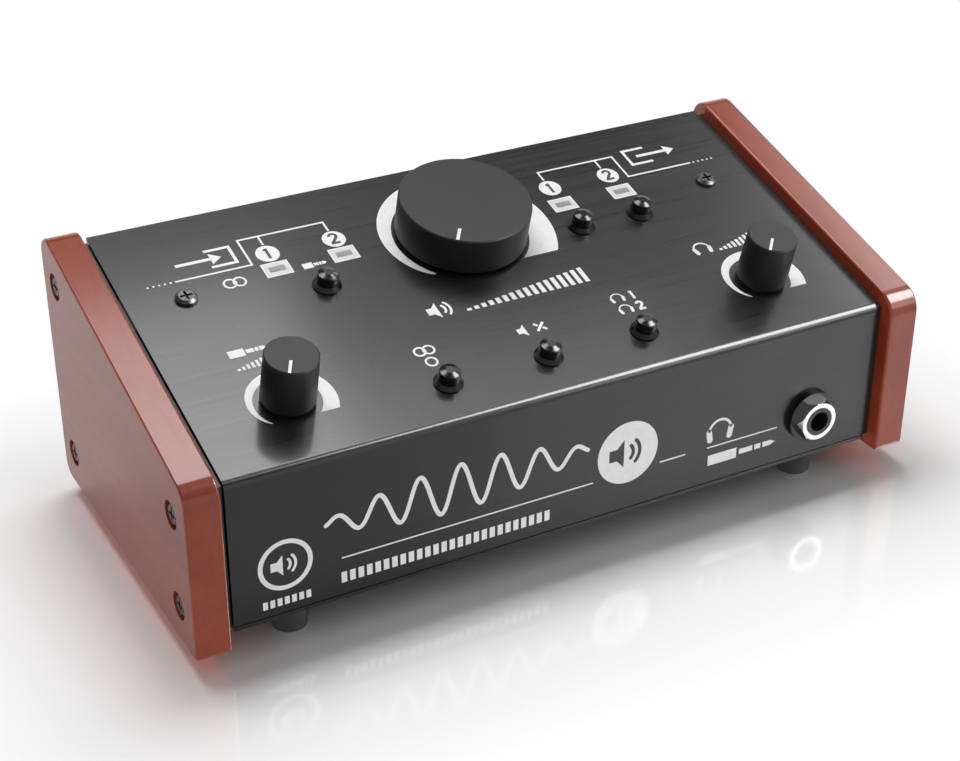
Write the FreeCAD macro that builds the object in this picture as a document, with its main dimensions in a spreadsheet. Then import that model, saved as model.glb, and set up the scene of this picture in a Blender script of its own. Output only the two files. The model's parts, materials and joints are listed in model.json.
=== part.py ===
import FreeCAD, Part
import os
import re
import Sketcher

# Studio monitor controller: a wedge-shaped desktop box with a sloping metal panel between two
# wooden cheeks. Millimetres. +X is to the user's right, +Y to the back, +Z up; the origin is on
# the desk, under the middle of the box. Pieces of the sloping panel are drawn in the panel's own
# axes (x across, y up the slope, z out of the panel) and tilted into place as a whole.

doc = FreeCAD.newDocument("monitor_controller")
sheet = doc.addObject("Spreadsheet::Sheet", "Sizes")

SIZES = [
    # the wedge
    ("overall_width", 240.0), ("overall_depth", 111.0), ("front_height", 53.0), ("back_height", 83.5),
    ("cheek_thickness", 10.4), ("ground_gap", 6.0), ("top_front_round", 7.5), ("top_back_round", 6.0),
    ("low_back_round", 5.0), ("low_front_round", 1.5), ("cheek_ease", 0.7),
    # the metal body
    ("sheet_thickness", 1.2), ("shell_inset", 4.0), ("panel_inset", 3.4), ("end_gap", 2.3),
    ("tray_height", 3.4), ("lip_gap", 0.3), ("bend_radius", 2.6), ("lip_height", 8.0),
    ("frame_thickness", 2.0), ("frame_inset", 1.0), ("tab_reach", 26.0), ("tab_width", 14.0),
    ("base_tab_reach", 13.0), ("base_tab_width", 12.0), ("base_tab_offset", 34.0),
    # screws
    ("cheek_screw_radius", 2.0), ("cheek_head_radius", 3.6), ("cheek_head_height", 2.4),
    ("counterbore_radius", 4.2), ("counterbore_depth", 2.7), ("cheek_screw_front", 11.0),
    ("cheek_screw_back", 100.5), ("cheek_screw_low", 12.0), ("cheek_screw_mid", 41.3),
    ("cheek_screw_high", 68.5), ("small_screw_radius", 1.5), ("small_head_radius", 3.3),
    ("small_head_height", 1.5), ("screw_clearance", 0.2), ("cross_width", 0.8), ("cross_depth", 1.1),
    ("panel_screw_inset", 17.6), ("panel_screw_up", 75.0),
    # feet
    ("foot_radius", 5.8), ("foot_tip_radius", 5.0), ("foot_side_inset", 19.8), ("foot_inset", 13.0),
    # knobs and potentiometers
    ("small_knob_radius", 7.9), ("small_knob_top", 17.2), ("small_knob_gap", 1.6),
    ("small_knob_inset", 28.3), ("small_knob_up", 26.7), ("small_knob_draft", 0.2),
    ("small_knob_recess", 6.5), ("big_knob_radius", 20.5), ("big_knob_top", 13.2),
    ("big_knob_gap", 1.4), ("big_knob_up", 76.5), ("big_knob_skin", 2.2), ("big_knob_wall", 2.2),
    ("knob_boss_radius", 6.2), ("knob_edge", 0.4), ("shaft_radius", 3.0), ("shaft_flat", 1.5),
    ("running_clearance", 0.05), ("bushing_wall", 0.45), ("bushing_height", 4.8),
    ("pot_nut_flats", 10.0), ("pot_nut_height", 2.0), ("pot_washer_radius", 5.6),
    ("pot_washer_height", 0.5), ("pot_body_height", 7.6), ("small_pot_side", 12.0),
    ("volume_pot_side", 17.0), ("wiper_radius", 4.6), ("wiper_height", 1.0),
    ("pot_floor", 1.2), ("pot_pin_pitch", 4.0), ("pot_pin_width", 0.8), ("pot_pin_depth", 0.6),
    # push buttons
    ("button_radius", 3.2), ("button_top", 5.2), ("button_edge", 0.25), ("button_crown", 0.55),
    ("button_flat_radius", 1.4), ("button_travel", 2.2), ("bezel_radius", 4.4), ("bezel_height", 1.7),
    ("bezel_rim", 0.5), ("bezel_lip", 0.25), ("bezel_sleeve_radius", 3.9),
    ("stop_collar_radius", 3.7), ("stop_collar_height", 0.8), ("plunger_side", 3.0),
    ("plunger_drop", 6.4), ("switch_side", 8.4), ("spring_wire", 0.15), ("spring_radius", 1.15),
    ("spring_height", 3.1), ("spring_turns", 2.0), ("inner_column", 38.1), ("outer_column", 59.7),
    ("button_row_up", 67.4),
    ("low_row_up", 17.9), ("low_row_centre", -1.3), ("low_row_pitch", 32.6),
    # signal lamps
    ("lamp_long", 5.0), ("lamp_short", 2.0), ("lamp_up", 79.0), ("lamp_body_drop", 7.0),
    ("lamp_proud", 0.2), ("lamp_leg", 0.5), ("lamp_leg_offset", 1.27),
    # circuit boards
    ("control_board_drop", 12.0), ("board_thickness", 1.6), ("control_board_gap", 23.3),
    ("control_board_low", 12.0), ("control_board_high", 94.0), ("main_board_gap", 10.3),
    ("main_board_front_gap", 19.5), ("main_board_back_gap", 5.5), ("standoff_height", 5.0),
    ("standoff_radius", 3.0), ("standoff_inset", 7.0), ("standoff_front_inset", 10.0),
    ("standoff_back_inset", 32.0), ("header_long", 24.0), ("header_wide", 6.0), ("header_tall", 6.0),
    ("header_up", 54.0), ("ribbon_width", 20.0), ("ribbon_thickness", 0.9), ("ribbon_drop", 10.0),
    ("ribbon_bend", 1.6), ("low_header_back", 12.0),
    ("chip_length", 10.0), ("chip_width", 4.0), ("chip_height", 1.8), ("can_radius", 4.0),
    ("can_height", 10.0),
    # quarter-inch jacks
    ("jack_bore_radius", 3.25), ("jack_thread_radius", 4.7), ("jack_thread_length", 5.2),
    ("jack_body_width", 15.6), ("jack_body_half", 7.4), ("jack_body_depth", 25.0),
    ("jack_bore_depth", 27.0), ("front_jack_inset", 22.6), ("front_jack_up", 18.6),
    ("front_nut_flats", 12.4), ("front_nut_height", 3.2), ("front_washer_radius", 8.4),
    ("front_washer_height", 1.9), ("front_nut_taper", 0.7), ("rear_nut_flats", 13.0), ("rear_nut_height", 2.2),
    ("rear_washer_radius", 7.6), ("rear_washer_height", 0.6), ("rear_jack_pitch", 19.0),
    # small rear connectors
    ("aux_jack_inset", 24.3), ("aux_bore_radius", 1.8), ("aux_thread_radius", 2.9),
    ("aux_nut_radius", 4.0), ("aux_nut_height", 1.8), ("aux_body_width", 9.0),
    ("aux_body_depth", 13.0), ("power_inset", 23.3), ("power_bore_radius", 3.1),
    ("power_pin_radius", 1.0), ("power_body_width", 11.0), ("power_body_depth", 13.0),
    ("power_bore_depth", 9.0),
]

DERIVED = [
    ("slope", "atan((back_height - front_height) / overall_depth)"),
    ("front_y", "-overall_depth / 2"),
    ("panel_y", "front_y + panel_inset * sin(slope)"),
    ("panel_z", "ground_gap + front_height - panel_inset * cos(slope)"),
    ("cheek_inner", "overall_width / 2 - cheek_thickness"),
    ("shell_half", "cheek_inner - end_gap"),
    ("wall_front", "front_y + shell_inset"),
    ("wall_back", "overall_depth / 2 - shell_inset"),
    ("small_knob_across", "shell_half - small_knob_inset"),
    ("panel_screw_across", "shell_half - panel_screw_inset"),
    ("foot_across", "shell_half - foot_side_inset"),
    ("front_jack_across", "shell_half - front_jack_inset"),
    ("aux_jack_across", "shell_half - aux_jack_inset"),
    ("power_across", "shell_half - power_inset"),
    ("control_board_half", "shell_half - control_board_gap"),
    ("main_board_half", "shell_half - main_board_gap"),
    ("main_board_front", "wall_front + main_board_front_gap"),
    ("main_board_back", "wall_back - main_board_back_gap"),
    ("standoff_across", "main_board_half - standoff_inset"),
    ("standoff_front", "main_board_front + standoff_front_inset"),
    ("standoff_back", "main_board_back - standoff_back_inset"),
    ("floor_low", "ground_gap + tray_height"),
    ("floor_top", "floor_low + sheet_thickness"),
    ("wall_low", "floor_top + lip_gap"),
    ("jack_z", "ground_gap + front_jack_up"),
    ("board_top", "jack_z - jack_body_half"),
    ("board_low", "board_top - board_thickness"),
    ("under_panel", "sheet_thickness / cos(slope)"),
    ("bushing_bore", "shaft_radius + running_clearance"),
    ("bushing_radius", "bushing_bore + bushing_wall"),
    ("button_bore", "button_radius + running_clearance"),
]

NAMES = set()
for row, (name, value) in enumerate(SIZES):
    sheet.set("A%d" % (row + 1), name)
    sheet.set("B%d" % (row + 1), str(value))
    sheet.setAlias("B%d" % (row + 1), name)
    NAMES.add(name)
for step, (name, formula) in enumerate(DERIVED):
    row = len(SIZES) + step + 2
    sheet.set("A%d" % row, name)
    sheet.set("B%d" % row, "=" + formula)
    sheet.setAlias("B%d" % row, name)
    NAMES.add(name)
doc.recompute()


def linked(formula):
    """The formula with each size's name pointed at the sheet."""
    text = str(formula)
    return re.sub(r"[A-Za-z_]\w*", lambda m: "Sizes." + m.group(0) if m.group(0) in NAMES else m.group(0), text)


def bind(thing, **formulas):
    for prop, formula in formulas.items():
        thing.setExpression(prop, linked(formula))
    return thing


def place(thing, x="0", y="0", z="0", axis=(0, 0, 1), angle=0):
    """Put a thing at x, y, z, turned about an axis by an angle in degrees."""
    turn = FreeCAD.Rotation(FreeCAD.Vector(*axis), angle)
    thing.Placement = FreeCAD.Placement(FreeCAD.Vector(0, 0, 0), turn)
    for prop, formula in (("x", x), ("y", y), ("z", z)):
        thing.setExpression("Placement.Base." + prop, linked(formula))
    return thing


def tilt(thing):
    """Carry a thing drawn in the panel's axes onto the sloping panel."""
    place(thing, "0", "panel_y", "panel_z", (1, 0, 0), 15)
    thing.setExpression("Placement.Rotation.Angle", linked("slope"))
    return thing


def box(long, wide, tall, x="0", y="0", z="0"):
    """A box with its low corner at x, y, z."""
    thing = doc.addObject("Part::Box", "Block")
    bind(thing, Length=long, Width=wide, Height=tall)
    return place(thing, x, y, z)


def middle_box(long, wide, tall, x="0", y="0", z="0"):
    """A box centred on x and y, standing on z."""
    return box(long, wide, tall, "%s - (%s) / 2" % (x, long), "%s - (%s) / 2" % (y, wide), z)


UP = ((0, 0, 1), 0)
TO_FRONT = ((1, 0, 0), 90)
TO_BACK = ((1, 0, 0), -90)
TO_RIGHT = ((0, 1, 0), 90)
TO_LEFT = ((0, 1, 0), -90)
DOWN = ((1, 0, 0), 180)


def rod(radius, height, x="0", y="0", z="0", facing=UP):
    """A cylinder that starts at x, y, z and runs the way it faces."""
    thing = doc.addObject("Part::Cylinder", "Rod")
    bind(thing, Radius=radius, Height=height)
    return place(thing, x, y, z, *facing)


def cone(low_radius, high_radius, height, x="0", y="0", z="0", facing=UP):
    thing = doc.addObject("Part::Cone", "Taper")
    bind(thing, Radius1=low_radius, Radius2=high_radius, Height=height)
    return place(thing, x, y, z, *facing)


def hexagon(flats, height, x="0", y="0", z="0", facing=UP):
    thing = doc.addObject("Part::Prism", "Hexagon")
    thing.Polygon = 6
    bind(thing, Circumradius="(%s) / sqrt(3)" % flats, Height=height)
    return place(thing, x, y, z, *facing)


def join(*pieces):
    thing = doc.addObject("Part::MultiFuse", "Union")
    thing.Shapes = list(pieces)
    thing.Refine = True
    return thing


def cut(base, *tools):
    thing = doc.addObject("Part::Cut", "Cut")
    thing.Base = base
    thing.Tool = tools[0] if len(tools) == 1 else gather(*tools)
    return thing


def gather(*pieces):
    thing = doc.addObject("Part::Compound", "Set")
    thing.Links = list(pieces)
    return thing


def common(*pieces):
    thing = doc.addObject("Part::MultiCommon", "Common")
    thing.Shapes = list(pieces)
    return thing


PARTS = []


def part(label, thing):
    """Name a finished sub-part; its file gets this label."""
    thing.Label = label
    PARTS.append(thing)
    return thing


def profile_body(name, corners, width, middle=True):
    """A body padded along X from a closed outline of (y, z) corners."""
    body = doc.addObject("PartDesign::Body", name)
    plane = [item for item in body.Origin.OriginFeatures if item.Role == "YZ_Plane"][0]
    sketch = body.newObject("Sketcher::SketchObject", name + "Outline")
    sketch.AttachmentSupport = [(plane, "")]
    sketch.MapMode = "FlatFace"
    count = len(corners)
    probe = [(solve(y), solve(z)) for y, z in corners]
    for index in range(count):
        start = FreeCAD.Vector(*probe[index], 0)
        end = FreeCAD.Vector(*probe[(index + 1) % count], 0)
        sketch.addGeometry(Part.LineSegment(start, end), False)
    for index in range(count):
        sketch.addConstraint(Sketcher.Constraint("Coincident", index, 2, (index + 1) % count, 1))
    for index, (y, z) in enumerate(corners):
        for kind, formula, value in (("DistanceX", y, probe[index][0]), ("DistanceY", z, probe[index][1])):
            number = sketch.addConstraint(Sketcher.Constraint(kind, -1, 1, index, 1, value))
            sketch.setExpression("Constraints[%d]" % number, linked(formula))
    pad = body.newObject("PartDesign::Pad", name + "Pad")
    pad.Profile = sketch
    pad.Midplane = middle
    bind(pad, Length=width)
    sketch.Visibility = False
    doc.recompute()
    return body


def solve(formula):
    """The present value of a formula of sizes."""
    sheet.set("D1", "=" + str(formula))
    doc.recompute([sheet])
    value = sheet.get("D1")
    sheet.clear("D1")
    return float(getattr(value, "Value", value))


def round_corner(body, name, y, z, radius):
    """Round the edge along X that passes through the corner y, z."""
    spot = (solve(y), solve(z))
    shape = body.Shape
    edges = []
    for number, edge in enumerate(shape.Edges):
        ends = [(vertex.Y, vertex.Z) for vertex in edge.Vertexes]
        if len(ends) == 2 and all(abs(e[0] - spot[0]) < 0.01 and abs(e[1] - spot[1]) < 0.01 for e in ends):
            edges.append("Edge%d" % (number + 1))
    last = body.Tip
    fillet = body.newObject("PartDesign::Fillet", name)
    fillet.Base = (last, edges)
    bind(fillet, Radius=radius)
    body.Tip = fillet
    doc.recompute()


def ease_ends(body, name, radius):
    """Soften the outline edges of a body's two flat ends."""
    shape = body.Shape
    edges = []
    low, high = shape.BoundBox.XMin, shape.BoundBox.XMax
    for number, edge in enumerate(shape.Edges):
        box_ = edge.BoundBox
        if box_.XLength < 0.01 and min(abs(box_.XMin - low), abs(box_.XMin - high)) < 0.01:
            edges.append("Edge%d" % (number + 1))
    last = body.Tip
    fillet = body.newObject("PartDesign::Fillet", name)
    fillet.Base = (last, edges)
    bind(fillet, Radius=radius)
    body.Tip = fillet
    doc.recompute()


def panel_line(y, drop):
    """Height of the line a drop below the panel's face, at y."""
    return "panel_z + ((%s) - panel_y) * tan(slope) - (%s) / cos(slope)" % (y, drop)


SIDES = (("left", -1, TO_LEFT), ("right", 1, TO_RIGHT))
CHEEK_SCREWS = (
    ("cheek_screw_front", "cheek_screw_low"), ("cheek_screw_front", "cheek_screw_mid"),
    ("cheek_screw_back", "cheek_screw_low"), ("cheek_screw_back", "cheek_screw_high"),
)


def cheek(side, sign, outward):
    """One wooden end cheek with its four counterbored screw holes."""
    corners = [
        ("front_y", "ground_gap"), ("-front_y", "ground_gap"),
        ("-front_y", "ground_gap + back_height"), ("front_y", "ground_gap + front_height"),
    ]
    body = profile_body(side.capitalize() + "Cheek", corners, "cheek_thickness", False)
    round_corner(body, side + "LowFront", *corners[0], "low_front_round")
    round_corner(body, side + "LowBack", *corners[1], "low_back_round")
    round_corner(body, side + "TopBack", *corners[2], "top_back_round")
    round_corner(body, side + "TopFront", *corners[3], "top_front_round")
    ease_ends(body, side + "Ease", "cheek_ease")
    place(body, "-overall_width / 2" if sign < 0 else "cheek_inner")
    tools = []
    for y, z in CHEEK_SCREWS:
        at = ("%d * cheek_inner" % sign, "front_y + " + y, "ground_gap + " + z)
        seat = ("%d * (overall_width / 2 - counterbore_depth)" % sign,) + at[1:]
        tools.append(rod("cheek_screw_radius + screw_clearance", "cheek_thickness", *at, outward))
        tools.append(rod("counterbore_radius", "counterbore_depth + 1", *seat, outward))
    part(side + "_cheek", cut(body, *tools))


def screw(radius, length, head_radius, head_height, x, y, z, facing):
    """A pan-head screw with a cross recess; x, y, z is under its head."""
    shank = rod(radius, length, "0", "0", "-(%s)" % length)
    rim = rod(head_radius, "(%s) * 0.55" % head_height)
    dome = cone(head_radius, "(%s) * 0.72" % head_radius, "(%s) * 0.45" % head_height, z="(%s) * 0.55" % head_height)
    depth = "(%s) - cross_depth" % head_height
    reach = "(%s) * 1.15" % head_radius
    slots = [
        middle_box(reach, "cross_width", "cross_depth + 1", z=depth),
        middle_box("cross_width", reach, "cross_depth + 1", z=depth),
    ]
    return place(cut(join(shank, rim, dome), *slots), x, y, z, *facing)


def cheek_screws(side, sign, outward):
    pieces = []
    for y, z in CHEEK_SCREWS:
        pieces.append(screw(
            "cheek_screw_radius", "cheek_thickness - counterbore_depth + frame_thickness",
            "cheek_head_radius", "cheek_head_height",
            "%d * (overall_width / 2 - counterbore_depth)" % sign, "front_y + " + y, "ground_gap + " + z, outward,
        ))
    part(side + "_cheek_screws", gather(*pieces))


BASE_TABS = ("-base_tab_offset", "base_tab_offset")


def end_frame(side, sign, outward):
    """The steel end plate that a cheek, the panel and the tray are all screwed to."""
    front = "wall_front + frame_inset"
    back = "wall_back - frame_inset"
    corners = [
        (front, "floor_low + frame_inset"), (back, "floor_low + frame_inset"),
        (back, panel_line(back, "frame_inset")), (front, panel_line(front, "frame_inset")),
    ]
    body = profile_body(side.capitalize() + "Frame", corners, "frame_thickness", False)
    place(body, "-cheek_inner" if sign < 0 else "cheek_inner - frame_thickness")
    reach = "cheek_inner - frame_thickness / 2 - panel_screw_across + tab_reach / 3"
    low_x = "-(cheek_inner - frame_thickness / 2)" if sign < 0 else "panel_screw_across - tab_reach / 3"
    tab = tilt(gather(box(
        reach, "tab_width", "frame_thickness", low_x, "panel_screw_up - tab_width / 2",
        "-sheet_thickness - frame_thickness",
    )))
    tabs = [tab]
    holes = [tilt(gather(rod(
        "small_screw_radius", "3 * frame_thickness", "%d * panel_screw_across" % sign, "panel_screw_up",
        "-sheet_thickness - 2 * frame_thickness",
    )))]
    for y in BASE_TABS:
        tab_x = "-(cheek_inner - frame_thickness / 2)" if sign < 0 else "cheek_inner - base_tab_reach"
        tabs.append(box(
            "base_tab_reach - frame_thickness / 2", "base_tab_width", "frame_thickness", tab_x,
            y + " - base_tab_width / 2", "floor_top",
        ))
        holes.append(rod(
            "small_screw_radius", "3 * frame_thickness",
            "%d * (cheek_inner - base_tab_reach + base_tab_width / 2)" % sign, y, "floor_top - frame_thickness",
        ))
    for y, z in CHEEK_SCREWS:
        holes.append(rod(
            "cheek_screw_radius", "2 * frame_thickness", "%d * (cheek_inner - 1.5 * frame_thickness)" % sign,
            "front_y + " + y, "ground_gap + " + z, outward,
        ))
    part(side + "_end_frame", cut(join(body, *tabs), *holes))


BUTTONS = (
    ("input_select", "-(inner_column + outer_column) / 2", "button_row_up"),
    ("output_1", "inner_column", "button_row_up"),
    ("output_2", "outer_column", "button_row_up"),
    ("mono", "low_row_centre - low_row_pitch", "low_row_up"),
    ("mute", "low_row_centre", "low_row_up"),
    ("prelisten", "low_row_centre + low_row_pitch", "low_row_up"),
)
POTS = (
    ("volume", "0", "big_knob_up", "volume_pot_side"),
    ("aux", "-small_knob_across", "small_knob_up", "small_pot_side"),
    ("headphone", "small_knob_across", "small_knob_up", "small_pot_side"),
)
LAMPS = (
    ("input", ("-outer_column", "-inner_column")),
    ("output", ("inner_column", "outer_column")),
)


def top_cover():
    """The bent sheet that makes the front wall and the sloping panel."""
    outer_front = panel_line("wall_front", "0")
    inner_y = "wall_front + sheet_thickness"
    corners = [
        ("wall_front", "wall_low"), (inner_y, "wall_low"), (inner_y, panel_line(inner_y, "sheet_thickness")),
        ("wall_back", panel_line("wall_back", "sheet_thickness")), ("wall_back", panel_line("wall_back", "0")),
        ("wall_front", outer_front),
    ]
    body = profile_body("Cover", corners, "2 * shell_half")
    round_corner(body, "OuterBend", *corners[5], "bend_radius")
    round_corner(body, "InnerBend", *corners[2], "bend_radius - sheet_thickness")
    through = "3 * sheet_thickness"
    start = "-2 * sheet_thickness"
    tools = []
    for _, x, y, _ in POTS:
        tools.append(rod("bushing_radius + screw_clearance / 2", through, x, y, start))
    for _, x, y in BUTTONS:
        tools.append(rod("bezel_sleeve_radius", through, x, y, start))
    for _, columns in LAMPS:
        for x in columns:
            tools.append(middle_box("lamp_long + 0.2", "lamp_short + 0.2", through, x, "lamp_up", start))
    for sign in (-1, 1):
        tools.append(rod(
            "small_screw_radius + screw_clearance", through, "%d * panel_screw_across" % sign,
            "panel_screw_up", start,
        ))
    jack_hole = rod(
        "jack_thread_radius + screw_clearance", "4 * sheet_thickness", "front_jack_across",
        "wall_front - sheet_thickness", "jack_z", TO_BACK,
    )
    part("top_cover", cut(body, tilt(gather(*tools)), jack_hole))


REAR_JACKS = [("input", range(4)), ("output", range(4, 8))]


def rear_jack_x(index):
    return "%.1f * rear_jack_pitch" % (3.5 - index)


def base_tray():
    """Bottom plate, rear wall and the front lip behind the cover's front wall."""
    lip_front = "wall_front + sheet_thickness + 0.02"
    wall_inner = "wall_back - sheet_thickness"
    corners = [
        ("wall_front", "floor_low"), ("wall_back", "floor_low"),
        ("wall_back", panel_line(wall_inner, "sheet_thickness")),
        (wall_inner, panel_line(wall_inner, "sheet_thickness")), (wall_inner, "floor_top"),
        (lip_front + " + sheet_thickness", "floor_top"),
        (lip_front + " + sheet_thickness", "floor_top + lip_height"), (lip_front, "floor_top + lip_height"),
        (lip_front, "floor_top"), ("wall_front", "floor_top"),
    ]
    body = profile_body("Tray", corners, "2 * shell_half")
    tools = []
    for _, indices in REAR_JACKS:
        for index in indices:
            tools.append(rod(
                "jack_thread_radius + screw_clearance", "3 * sheet_thickness", rear_jack_x(index),
                "wall_back - 2 * sheet_thickness", "jack_z", TO_BACK,
            ))
    tools.append(rod(
        "aux_thread_radius + screw_clearance", "3 * sheet_thickness", "-aux_jack_across",
        "wall_back - 2 * sheet_thickness", "jack_z", TO_BACK,
    ))
    tools.append(rod(
        "power_bore_radius + 0.6", "3 * sheet_thickness", "power_across", "wall_back - 2 * sheet_thickness",
        "jack_z", TO_BACK,
    ))
    tools.append(middle_box(
        "jack_body_width + 1", "2 * sheet_thickness", "2 * lip_height", "front_jack_across",
        "wall_front + 1.5 * sheet_thickness", "jack_z - jack_body_half - 1",
    ))
    through = ("3 * sheet_thickness", "floor_low - sheet_thickness")
    for sign in (-1, 1):
        for y in BASE_TABS:
            tools.append(rod(
                "small_screw_radius + screw_clearance", through[0],
                "%d * (cheek_inner - base_tab_reach + base_tab_width / 2)" % sign, y, through[1],
            ))
        for end in (-1, 1):
            tools.append(rod(
                "small_screw_radius", through[0], "%d * foot_across" % sign,
                "%d * (overall_depth / 2 - foot_inset)" % end, through[1],
            ))
        for y in ("standoff_front", "standoff_back"):
            tools.append(rod("small_screw_radius + 0.5", through[0], "%d * standoff_across" % sign, y, through[1]))
    part("base_tray", cut(body, *tools))


def rubber_feet():
    feet = []
    screws = []
    hollow = "floor_low * 0.45"
    for sign in (-1, 1):
        for end in (-1, 1):
            x = "%d * foot_across" % sign
            y = "%d * (overall_depth / 2 - foot_inset)" % end
            foot = cone("foot_tip_radius", "foot_radius", "floor_low", x, y)
            well = rod("small_head_radius + 0.4", hollow, x, y)
            bore = rod("small_screw_radius", "floor_low", x, y)
            feet.append(cut(foot, well, bore))
            screws.append(screw(
                "small_screw_radius", "floor_low - (%s) + sheet_thickness + 1" % hollow, "small_head_radius",
                "small_head_height", x, y, hollow, DOWN,
            ))
    part("rubber_feet", gather(*feet))
    part("foot_screws", gather(*screws))


def panel_and_base_screws():
    panel = []
    base = []
    for sign in (-1, 1):
        panel.append(screw(
            "small_screw_radius", "sheet_thickness + frame_thickness + 1", "small_head_radius",
            "small_head_height", "%d * panel_screw_across" % sign, "panel_screw_up", "0", UP,
        ))
        for y in BASE_TABS:
            base.append(screw(
                "small_screw_radius", "sheet_thickness + frame_thickness + 1", "small_head_radius",
                "small_head_height", "%d * (cheek_inner - base_tab_reach + base_tab_width / 2)" % sign, y,
                "floor_low", DOWN,
            ))
    part("panel_screws", tilt(gather(*panel)))
    part("base_screws", gather(*base))


def flatted_rod(extra, height, x, y, z):
    """The round shaft with its flat, or with an extra size the hole for it."""
    shaft = rod("shaft_radius + %s" % extra, height, x, y, z)
    flat = box(
        "4 * shaft_radius", "2 * shaft_radius", "2 * (%s)" % height, "%s - 2 * shaft_radius" % x,
        "%s + shaft_radius - shaft_flat + %s" % (y, extra), z,
    )
    return cut(shaft, flat)


def potentiometer(name, x, y, side):
    """Fixed body, bushing and pins of a rotary potentiometer, and the shaft that turns in it."""
    floor = "-sheet_thickness - pot_body_height"
    body = middle_box(side, side, "pot_body_height", x, y, floor)
    bushing = rod("bushing_radius", "bushing_height + sheet_thickness", x, y, "-sheet_thickness")
    bore = rod("bushing_bore", "bushing_height + 2 * sheet_thickness + 4", x, y, "-sheet_thickness - 3")
    cavity_low = "%s + pot_floor" % floor
    cavity = rod("wiper_radius + 0.4", "wiper_height + 0.8", x, y, cavity_low)
    throat = rod("bushing_bore", "pot_body_height - pot_floor", x, y, cavity_low)
    pins = [
        box(
            "pot_pin_width", "pot_pin_depth", "control_board_drop - sheet_thickness - pot_body_height",
            "%s + (%d) * pot_pin_pitch - pot_pin_width / 2" % (x, place_across),
            "%s - (%s) / 2 + 0.4" % (y, side), "-control_board_drop",
        )
        for place_across in (-1, 0, 1)
    ]
    fixed = cut(join(body, bushing, *pins), bore, cavity, throat)
    part(name + "_pot", tilt(gather(fixed)))

    top = "big_knob_top - 1.8" if name == "volume" else "small_knob_top - 3"
    wiper_low = "%s + 0.4" % cavity_low
    shaft_low = "%s + wiper_height / 2" % wiper_low
    round_end = rod("shaft_radius", "bushing_height - (%s)" % shaft_low, x, y, shaft_low)
    flat_end = flatted_rod("0", "%s - bushing_height" % top, x, y, "bushing_height")
    wiper = rod("wiper_radius", "wiper_height", x, y, wiper_low)
    part(name + "_shaft", tilt(gather(join(round_end, flat_end, wiper))))


def pot_hardware():
    nuts = []
    washers = []
    for _, x, y, _ in POTS:
        washer = rod("pot_washer_radius", "pot_washer_height", x, y)
        washers.append(cut(washer, rod("bushing_radius", "2 * pot_washer_height", x, y, "-pot_washer_height / 2")))
        nut = hexagon("pot_nut_flats", "pot_nut_height", x, y, "pot_washer_height")
        nuts.append(cut(nut, rod("bushing_radius", "2 * pot_nut_height", x, y)))
    part("pot_nuts", tilt(gather(*nuts)))
    part("pot_washers", tilt(gather(*washers)))


def volume_knob():
    """The large shallow knob: a skirt round a central boss, open underneath."""
    y = "big_knob_up"
    edge = "knob_edge"
    low = rod("big_knob_radius", "big_knob_top - big_knob_gap - %s" % edge, "0", y, "big_knob_gap")
    rim = cone("big_knob_radius", "big_knob_radius - %s" % edge, edge, "0", y, "big_knob_top - " + edge)
    hollow_height = "big_knob_top - big_knob_skin - big_knob_gap"
    hollow = rod("big_knob_radius - big_knob_wall", hollow_height, "0", y, "big_knob_gap")
    boss_low = "bushing_height + 0.6"
    boss = rod("knob_boss_radius", "big_knob_top - big_knob_skin / 2 - (%s)" % boss_low, "0", y, boss_low)
    bore = flatted_rod("0", "big_knob_top - 1.7 - bushing_height", "0", y, "bushing_height")
    knob = cut(join(cut(join(low, rim), hollow), boss), bore)
    part("volume_knob", tilt(gather(knob)))


def small_knob(name, x):
    """A tall round knob, slightly narrower at its top, recessed over the nut."""
    y = "small_knob_up"
    edge = "knob_edge"
    tall = "small_knob_top - small_knob_gap - " + edge
    body = cone("small_knob_radius", "small_knob_radius - small_knob_draft", tall, x, y, "small_knob_gap")
    rim = cone(
        "small_knob_radius - small_knob_draft", "small_knob_radius - small_knob_draft - " + edge, edge, x, y,
        "small_knob_top - " + edge,
    )
    recess = rod("small_knob_recess", "bushing_height + 0.6 - small_knob_gap", x, y, "small_knob_gap")
    bore = flatted_rod("0", "small_knob_top - 2.9 - bushing_height", x, y, "bushing_height")
    part(name + "_knob", tilt(gather(cut(join(body, rim), recess, bore))))


def push_button(name, x, y):
    """Cap, stop collar and plunger in one moulding, and the spring that lifts it."""
    collar_low = "-sheet_thickness - 0.2 - stop_collar_height"
    crown_low = "button_top - button_crown"
    cap = rod("button_radius", "%s - button_edge - (%s)" % (crown_low, collar_low), x, y, collar_low)
    edge = cone("button_radius", "button_radius - button_edge", "button_edge", x, y, crown_low + " - button_edge")
    crown = cone("button_radius - button_edge", "button_flat_radius", "button_crown", x, y, crown_low)
    collar = rod("stop_collar_radius", "stop_collar_height", x, y, collar_low)
    plunger = middle_box(
        "plunger_side", "plunger_side", "plunger_drop + 0.1", x, y, "%s - plunger_drop" % collar_low,
    )
    part(name + "_button", tilt(gather(join(cap, edge, crown, collar, plunger))))

    helix = doc.addObject("Part::Helix", "Coil")
    helix.SegmentLength = 0.25
    bind(helix, Radius="spring_radius", Pitch="(spring_height - 2 * spring_wire - 0.02) / spring_turns",
         Height="spring_height - 2 * spring_wire - 0.02")
    place(helix, x, y, "-control_board_drop + 0.21 + spring_wire")
    ring = doc.addObject("Part::Circle", "Wire")
    bind(ring, Radius="spring_wire")
    place(ring, "%s + spring_radius" % x, y, "-control_board_drop + 0.21 + spring_wire", (1, 0, 0), 90)
    doc.recompute()
    coil = doc.addObject("Part::Sweep", "Spring")
    coil.Sections = [ring]
    coil.Spine = (helix, ["Edge%d" % (number + 1) for number in range(len(helix.Shape.Edges))])
    coil.Solid = True
    coil.Frenet = True
    part(name + "_spring", tilt(gather(coil)))


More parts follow.
